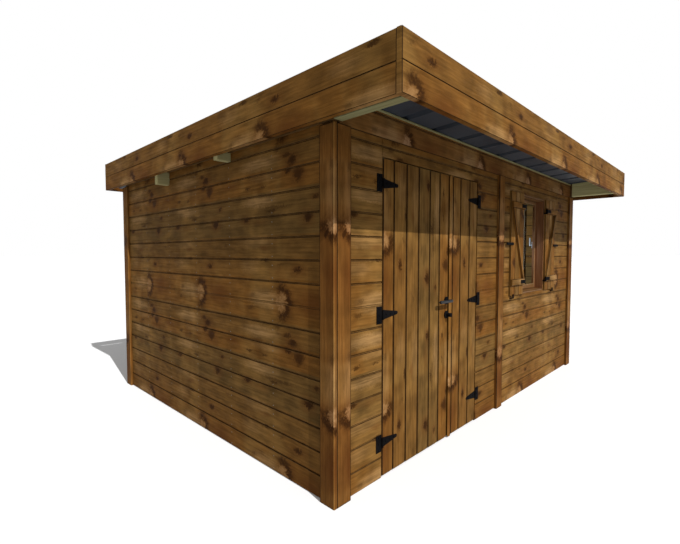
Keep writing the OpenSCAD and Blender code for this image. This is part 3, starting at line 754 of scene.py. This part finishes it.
def fascia(node, along, out, starts, row):
    """One row of the fascia box. A node of the sides holds two boards, at the two ends of its box."""
    low, high = span(node)
    boxes = [(low, high)]
    if len(starts) > 1:
        boxes = [(low, Vector((low.x + FASCIA_T, high.y, high.z))),
                 (Vector((high.x - FASCIA_T, low.y, low.z)), high)]
    planks = []
    for i, ((a, b), start) in enumerate(zip(boxes, starts)):
        turn = 1 if i == 0 else -1
        board = rebated_board(a, b, out * turn, along, f"{node}_{i}", **FASCIA_JOINT)
        axis, face, rear = facing(a, b, out * turn)
        bevel(board, END_EASE, lying_at(axis, face, Z))
        planks.append(lay_grain(board, along * turn, Z, out * 0, (start, row * ROW - low.z)))
    return finish_piece(join(node + "_planks", planks), "shed", "stained_wood", node)


for row, half in enumerate(("lower", "upper")):
    fascia("front_fascia_" + half, X, -Y, FASCIA_FRONT, row)
    fascia("back_fascia_" + half, -X, Y, FASCIA_BACK, row)
    fascia("side_fascia_" + half, -Y, -X, FASCIA_SIDES, row)

# %% [markdown]
# ## The lath under the eaves
# A thin green lath closes the joint between the upper wall and the roof. A stripe of paint would lie flat, so
# it is a small block set against the wall. Only its outer edges are bevelled, so that its back lies close.

# %% The lath
LATH_H, LATH_T, LATH_DROP, LATH_EASE = 11, 8, 3, 2.0
lath_top, lath_face = upper_high.z - LATH_DROP, upper_low.y - LATH_T
lath = block((upper_low.x, lath_face, lath_top - LATH_H), (upper_high.x, upper_low.y, lath_top),
             "eaves_lath", across_x, across_x)
bevel(lath, LATH_EASE, lambda a, b: max(a.y, b.y) < lath_face + NEAR)
finish_piece(lath, "shed", "treated_wood")

# %% [markdown]
# ## Doors
# Each leaf is a row of standing boards with wider V joints than the walls have. An Array would make them all
# alike, but the real boards differ in width, so each is made for its own two lines. The last one of the left
# leaf is trimmed to fit, as a joiner would do it.

# %% Standing boards of the leaves
DOOR_JOINT = dict(gap=6.0, depth=13.0, chamfer=5.0, finish=door_pine)
DOOR_START = 1272
LEFT_LINES, RIGHT_LINES, STRIP_LAP = (522.5, 651.5, 783.5, 913.5, 1034.5), (1324.5, 1460.5), 16


def standing_boards(leaf, inner_lines, rows):
    low, high = span(leaf + "_boards")
    lines = [low.x, *inner_lines, high.x]
    boards = []
    for i, (left, right) in enumerate(zip(lines, lines[1:])):
        board = rebated_board((left, low.y, low.z), (right - TIGHT, high.y, high.z), -Y, Z,
                              f"{leaf}_planks_{i}", **DOOR_JOINT)
        boards.append(lay_grain(board, -Z, X, -Y * 0.5, (DOOR_START, rows[i] * ROW - left)))
    return finish_piece(join(leaf + "_planks", boards), leaf, "stained_wood", leaf + "_boards")


strip_low, strip_high = span("right_door_strip")
standing_boards("left_door", LEFT_LINES, (0, 1, 2, 3, 4, 5))
standing_boards("right_door", (strip_high.x + STRIP_LAP, *RIGHT_LINES), (7, 0, 1, 2))

# %% The strip beside the meeting gap
STRIP_EASE, STRIP_HIGHLIGHT, STRIP_ROW = 8.0, 7.0, 7.7
strip = block(strip_low, strip_high, "right_door_strip_plank")
strip.data.materials.append(painted_highlight_pine)
strip_face = strip_low.y + NEAR
bevel(strip, STRIP_EASE, lambda a, b: max(a.y, b.y) < strip_face and min(a.x, b.x) > strip_high.x - NEAR)
# The left chamfer gets the painted highlight copy, paler where the sun catches it
bevel(strip, STRIP_HIGHLIGHT, lambda a, b: max(a.y, b.y) < strip_face and max(a.x, b.x) < strip_low.x + NEAR,
      paint=2)
lay_grain(strip, -Z, X, -Y, (DOOR_START, STRIP_ROW * ROW - strip_low.x))
finish_piece(strip, "right_door", "stained_wood", "right_door_strip")

# %% [markdown]
# ## Shutters
# A shutter is three thin boards held by two ledges and a slanting brace. A brace that is turned would need
# its ends cut, so it is a cube whose upper end is pushed sideways in edit mode, which leaves the ends level.

# %% A slanting brace
BRACE_W, BRACE_ROW = 42, 5.5


def slanting_brace(node, side, low, high, face, bottom, top):
    foot = high.x - BRACE_W if side < 0 else low.x
    brace = block((foot, low.y, bottom), (foot + BRACE_W, face, top), f"{node}_brace")
    slide = (low.x - foot if side < 0 else high.x - BRACE_W - foot) * MM
    select_none(brace, "VERT")
    for vertex in brace.data.vertices:
        vertex.select = (vertex.co.z - corner.z) / MM > top - 1
    edit(brace, lambda: bpy.ops.transform.translate(value=(slide, 0, 0)))
    bevel(brace, EASE, lambda a, b: abs(a.z - b.z) > 50 and max(a.y, b.y) < low.y + NEAR)
    lean = Vector((-slide, 0, -(top - bottom) * MM)).normalized()
    return lay_grain(brace, lean, Vector((lean.z, 0, -lean.x)), -Y, (0, BRACE_ROW * ROW))


# %% The pair of shutters
SHUTTER_T, LEDGE_H, LEDGE_END = 16, 58, 120
BOARD_GAP, BOARD_SHIFT, LEDGE_START, LEDGE_SHIFT = 0.4, 160, 380, 20


def shutter(node, side):
    low, high = span(node)
    face = high.y - SHUTTER_T
    third = (high.x - low.x) / 3
    lines = [low.x, low.x + third, low.x + 2 * third, high.x]
    pieces = []
    for i, (left, right) in enumerate(zip(lines, lines[1:])):
        board = block((left + BOARD_GAP, face, low.z), (right - BOARD_GAP, high.y, high.z), f"{node}_{i}")
        bevel(board, EASE / 2, lambda a, b: max(a.y, b.y) < face + NEAR)
        pieces.append(lay_grain(board, -Z, X, -Y, (DOOR_START + BOARD_SHIFT * i, (5 + i) * ROW - left)))
    heights = (low.z + LEDGE_END, high.z - LEDGE_END)
    for i, z in enumerate(heights):
        pieces.append(plank(f"{node}_ledge_{i}", (low.x, low.y, z - LEDGE_H / 2),
                            (high.x, face, z + LEDGE_H / 2), X, Z, -Y,
                            (LEDGE_START - low.x, (6 + i) * ROW - z + LEDGE_SHIFT)))
    bottom, top = heights[0] + LEDGE_H / 2, heights[1] - LEDGE_H / 2
    pieces.append(slanting_brace(node, side, low, high, face, bottom, top))
    return finish_piece(join(node + "_planks", pieces), "shed", "stained_wood", node)


shutter("left_shutter", -1)
shutter("right_shutter", 1)

# %% [markdown]
# ## Window
# The lining is four planks, the casement two stiles and two rails with a splayed inner edge. One inset plate
# could give the outline, but then the grain would run one way all round, so the stiles run through from top
# to bottom and the rails fit between them.

# %% Lining and casement
LINING = dict(side=20, bottom=20, top=20, splay=3.0, edge=arris)
CASEMENT = dict(side=26, bottom=45, top=30, splay=5.0, edge=bead)


def frame_of_planks(node, name, side, bottom, top, splay, edge):
    low, high = span(node)
    uprights = [block((x, low.y, low.z), (x + side, high.y, high.z), f"{name}_{i}", window_standing, edge)
                for i, x in enumerate((low.x, high.x - side))]
    rails = [block((low.x + side, low.y, z), (high.x - side, high.y, z + h), f"{name}_rail_{i}",
                   window_across, edge)
             for i, (z, h) in enumerate(((low.z, bottom), (high.z - top, top)))]
    for bar in uprights + rails:
        bevel(bar, splay, lambda a, b: max(a.y, b.y) < low.y + NEAR)
    finish_piece(join(name + "_stiles", uprights), "shed", "window_wood", node)
    finish_piece(join(name + "_rails", rails), "shed", "window_wood")


frame_of_planks("window_liner", "window_lining", **LINING)
frame_of_planks("window_casement", "window_frame", **CASEMENT)

# %% [markdown]
# ## Nails
# Each cladding board is held by two nails on every stud. One nail head is a short cylinder with a rounded
# rim. Hundreds of copies made one by one would be slow, so three Arrays repeat it: twice on a board, board by
# board, and stud by stud.

# %% Rows of nail heads
NAIL_R, NAIL_H, NAIL_RIM, NAIL_SIDES = 2.8, 0.8, 0.4, 10
NAIL_LOW, NAIL_STEP, NAILED_ROWS = 20, 75, 15
STUD_PITCH, FIRST_STUD = 2875 / 6, 62.5
BACK_PITCH, FIRST_BACK = 469.375, 122.5


def disc(place, turn, radius, height, sides, finish):
    bpy.ops.object.select_all(action="DESELECT")
    bpy.ops.mesh.primitive_cylinder_add(vertices=sides, radius=radius * MM, depth=2 * height * MM,
                                        location=spot(*place), rotation=turn, calc_uvs=False)
    piece = bpy.context.object
    bpy.ops.object.transform_apply(location=True, rotation=True, scale=True)
    piece.data.materials.append(finish)
    return piece


def nail_rows(name, x, y, turn, step, count):
    nails = disc((x, y, FIRST_JOINT - ROW + NAIL_LOW), turn, NAIL_R, NAIL_H, NAIL_SIDES, nail_zinc)
    bevel(nails, NAIL_RIM, lambda a, b: True, paint=-1)
    for times, offset in ((2, (0, 0, NAIL_STEP)), (NAILED_ROWS, (0, 0, ROW)), (count, step)):
        repeat(nails, times, offset)
    nails.name = nails.data.name = name
    return finish_piece(nails, "shed", "black_iron")


TO_THE_SIDE, TO_THE_BACK = (0, math.pi / 2, 0), (math.pi / 2, 0, 0)
SIDE_STUDS, BACK_STUDS = 5, 7
for name, face in (("left_wall_nails", span("left_wall")[0].x), ("right_wall_nails", span("right_wall")[1].x)):
    nail_rows(name, face, FIRST_STUD + STUD_PITCH, TO_THE_SIDE, (0, STUD_PITCH, 0), SIDE_STUDS)
nail_rows("back_wall_nails", FIRST_BACK + BACK_PITCH, span("back_wall")[1].y, TO_THE_BACK,
          (BACK_PITCH, 0, 0), BACK_STUDS)

# %% [markdown]
# ## Bolts and screws
# The hinges are bolted through the boards, and the roof sheets are screwed to the beams through their ribs. A
# head starts as a short cylinder whose outer rim is bevelled round. The heads stand at uneven steps, so no
# Array fits: one is modelled, and every other head is a copy that is moved to its place.

# %% One head and its copies
HEAD_SIDES = 12


def heads(name, body, slot, finish, out, radius, height, places):
    places = [Vector(place) for place in places]
    first = disc(places[0], out.to_track_quat("Z", "Y").to_euler(), radius, height, HEAD_SIDES, finish)
    rim = out.dot(places[0]) + height - NEAR
    bevel(first, height * 0.7, lambda a, b: min(out.dot(a), out.dot(b)) > rim, segments=3, paint=-1)
    copies = [first]
    for place in places[1:]:
        select_only(first)
        bpy.ops.object.duplicate()
        bpy.context.object.location = (place - places[0]) * MM
        bpy.ops.object.transform_apply(location=True, rotation=True, scale=True)
        copies.append(bpy.context.object)
    piece = join(name, copies)
    bpy.ops.object.shade_smooth_by_angle(angle=math.radians(40))
    return finish_piece(piece, body, slot)


# %% Bolts of the door hinges
HINGE_HEIGHTS, IRON, PLATE_W = (214, 969.5, 1725), 3.0, 47
PLATE_BOLTS, STRAP_BOLTS = (-37, 0, 37), (42, 82, 122)
BOLT = dict(slot="black_iron", finish=black_iron, out=-Y, radius=5.5, height=4.0)
iron_face = span("left_door_boards")[0].y - IRON
plate_low, plate_high = span("door_hinge_plates")
heads("hinge_plate_bolts", "shed", **BOLT,
      places=[(x, iron_face, z + up) for x in (plate_low.x + PLATE_W / 2, plate_high.x - PLATE_W / 2)
              for z in HINGE_HEIGHTS for up in PLATE_BOLTS])
for body, root, way in (("left_door", span("left_door_straps")[0].x, 1),
                        ("right_door", span("right_door_straps")[1].x, -1)):
    heads(body + "_strap_bolts", body, **BOLT,
          places=[(root + way * d, iron_face, z) for z in HINGE_HEIGHTS for d in STRAP_BOLTS])

# %% Bolts of the shutter hinges
NEAR_BOLT, FAR_BOLT = 18, 62
hinges_low, hinges_high = span("shutter_hinges")
shutter_low, shutter_high = span("left_shutter")
heads("shutter_strap_bolts", "shed", "black_iron", black_iron, -Y, radius=5.0, height=3.5,
      places=[(x, shutter_low.y - IRON, z) for z in (shutter_low.z + LEDGE_END, shutter_high.z - LEDGE_END)
              for x in (hinges_low.x + NEAR_BOLT, hinges_low.x + FAR_BOLT,
                        hinges_high.x - NEAR_BOLT, hinges_high.x - FAR_BOLT)])

# %% Screws through the ribs of the roof
RIB_PITCH, FIRST_RIB, RIB_COUNT = 326, -29, 13
BEAM_LINES = (70, FIRST_STUD + 2 * STUD_PITCH, FIRST_STUD + 4 * STUD_PITCH, 2937)
ABOVE_ROOF = 4000


def roof_top(x, y):
    """The height of the sheets at a place, felt from above."""
    hit, place, normal, face = nodes["roof_sheets"].ray_cast(spot(x, y, ABOVE_ROOF), (0, 0, -1))
    return ((place - corner) / MM).z


rib_lines = [FIRST_RIB + i * RIB_PITCH for i in range(RIB_COUNT)]
heads("roof_screws", "shed", "roof_metal", nail_zinc, Z, radius=8.0, height=5.0,
      places=[(x, y, roof_top(x, y)) for x in rib_lines for y in BEAM_LINES])

# %% [markdown]
# ## Floor and light
# A pale floor lies under the shed. The sun stands in front and a little to the left, and draws the roof's
# shadow across the doors. A wide, weak second sun and a plain sky fill the shade, because one lamp alone
# would leave it black. The background is white to the camera, to mirrors and through glass, but lends only a
# little light to the wood.

# %% The floor
FLOOR_SIZE, FLOOR_LEVEL, FLOOR_LIFT = 400, -0.0005, 0.06
FLOOR_GREY, WHITE = (0.56, 0.57, 0.60, 1), (1.0, 1.0, 1.0, 1)
bpy.ops.object.select_all(action="DESELECT")
bpy.ops.mesh.primitive_plane_add(size=FLOOR_SIZE, location=(0, 0, FLOOR_LEVEL))
floor = bpy.context.object
floor.name = "floor"
ground = Finish("pale_floor")
bounce = ground.node("ShaderNodeBsdfDiffuse", {}, {"Color": FLOOR_GREY})
white = ground.node("ShaderNodeBsdfDiffuse", {}, {"Color": WHITE})
lift = ground.node("ShaderNodeEmission", {}, {"Color": WHITE, "Strength": FLOOR_LIFT})
bright = ground.node("ShaderNodeAddShader", {}, {0: white, 1: lift})
shown = ground.node("ShaderNodeMixShader", {}, {0: ground.looked_at(), 1: bounce, 2: bright})
floor.data.materials.append(ground.surface(shown))

# %% Two suns, a lamp in the room and the sky
# Which way the light travels, its strength, and how wide the sun looks
SUN = (Vector((0.177, 1.0, -1.005)), 3.4, math.radians(0.5))
FILL = (Vector((0.1, 1.0, -0.25)), 0.28, math.radians(70))
for travel, strength, angle in (SUN, FILL):
    bpy.ops.object.light_add(type="SUN", location=(-1, -4, 5))
    sun = bpy.context.object
    sun.rotation_euler = travel.to_track_quat("-Z", "Y").to_euler()
    sun.data.energy, sun.data.angle = strength, angle

# A small lamp lights the boards that show behind the window
LAMP_PLACE, LAMP_POWER, LAMP_COLOUR = (2300, 560, 1350), 88.0, (0.80, 1.0, 1.4)
LAMP_SPREAD, LAMP_BLEND = math.radians(75), 1.0
bpy.ops.object.light_add(type="SPOT", location=spot(*LAMP_PLACE), rotation=(0, -math.pi / 2, 0))
lamp = bpy.context.object.data
lamp.energy, lamp.color = LAMP_POWER, LAMP_COLOUR
lamp.spot_size, lamp.spot_blend = LAMP_SPREAD, LAMP_BLEND

SKY_STRENGTH = 0.27
sky = Finish("plain_sky", sky=True)
plain = sky.node("ShaderNodeBackground", {}, {"Color": WHITE, "Strength": SKY_STRENGTH})
backdrop = sky.node("ShaderNodeBackground", {}, {"Color": WHITE, "Strength": 1.0})
bpy.context.scene.world = sky.surface(
    sky.node("ShaderNodeMixShader", {}, {0: sky.looked_at(), 1: plain, 2: backdrop}))
print("two suns, a lamp in the room and a plain sky")
